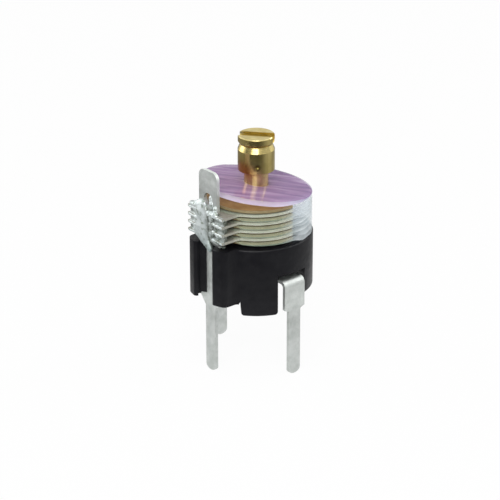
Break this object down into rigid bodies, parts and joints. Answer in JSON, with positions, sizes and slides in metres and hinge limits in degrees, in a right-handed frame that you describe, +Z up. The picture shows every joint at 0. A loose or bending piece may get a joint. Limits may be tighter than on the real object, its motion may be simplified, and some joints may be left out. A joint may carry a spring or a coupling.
{
  "type": "film trimmer capacitor",
  "caption": "Small through-hole trimmer capacitor: a round plastic base with pins carries interleaved metal half-disc plates, clear films and a slotted brass spindle that turns.",
  "frame": {"origin": "on the rotor axis, at the height of the board that the base's feet seat on", "axes": "+Z up the spindle towards its slotted head, -Y towards the stator terminal, and the two rotor pins lie on the X axis"},
  "size_m": [0.0104, 0.011, 0.021],
  "materials": {
    "black_plastic": "moulded, satin black",
    "tinned_brass": "dull tin over brass",
    "solder": "frozen solder, bright in places",
    "tinned_plate": "tinned, satin",
    "clear_film": "clear glossy film",
    "violet_film": "glossy violet film",
    "bronze": "plain bronze",
    "spring_steel": "plain spring steel",
    "brass": "turned, bright",
    "plate_brass": "stamped, satin"
  },
  "bodies": {
    "stator": {"base": "black_plastic", "stator_terminal": "tinned_brass", "stator_solder": "solder", "rotor_strap": "tinned_brass", "stator_plate_1": "tinned_plate", "stator_plate_2": "tinned_plate", "stator_plate_3": "tinned_plate", "stator_plate_4": "tinned_plate", "dielectric_film_1": "clear_film", "dielectric_film_2": "clear_film", "dielectric_film_3": "clear_film", "dielectric_film_4": "clear_film", "dielectric_film_5": "clear_film", "dielectric_film_6": "clear_film", "dielectric_film_7": "clear_film", "dielectric_film_8": "clear_film", "shield_film": "clear_film", "cover_film": "violet_film", "thrust_washer": "bronze", "spring_washer": "spring_steel"},
    "rotor": {"spindle": "brass", "retaining_ring": "spring_steel", "rotor_plate_1": "plate_brass", "rotor_plate_2": "plate_brass", "rotor_plate_3": "plate_brass", "rotor_plate_4": "plate_brass", "rotor_plate_5": "plate_brass", "rotor_spacer_1": "brass", "rotor_spacer_2": "brass", "rotor_spacer_3": "brass", "rotor_spacer_4": "brass"}
  },
  "joints": [
    {"name": "rotor_turn", "type": "hinge", "parent": "stator", "child": "rotor", "pos_m": [0, 0, 0.0062], "axis": [0, 0, 1], "continuous": true}
  ]
}
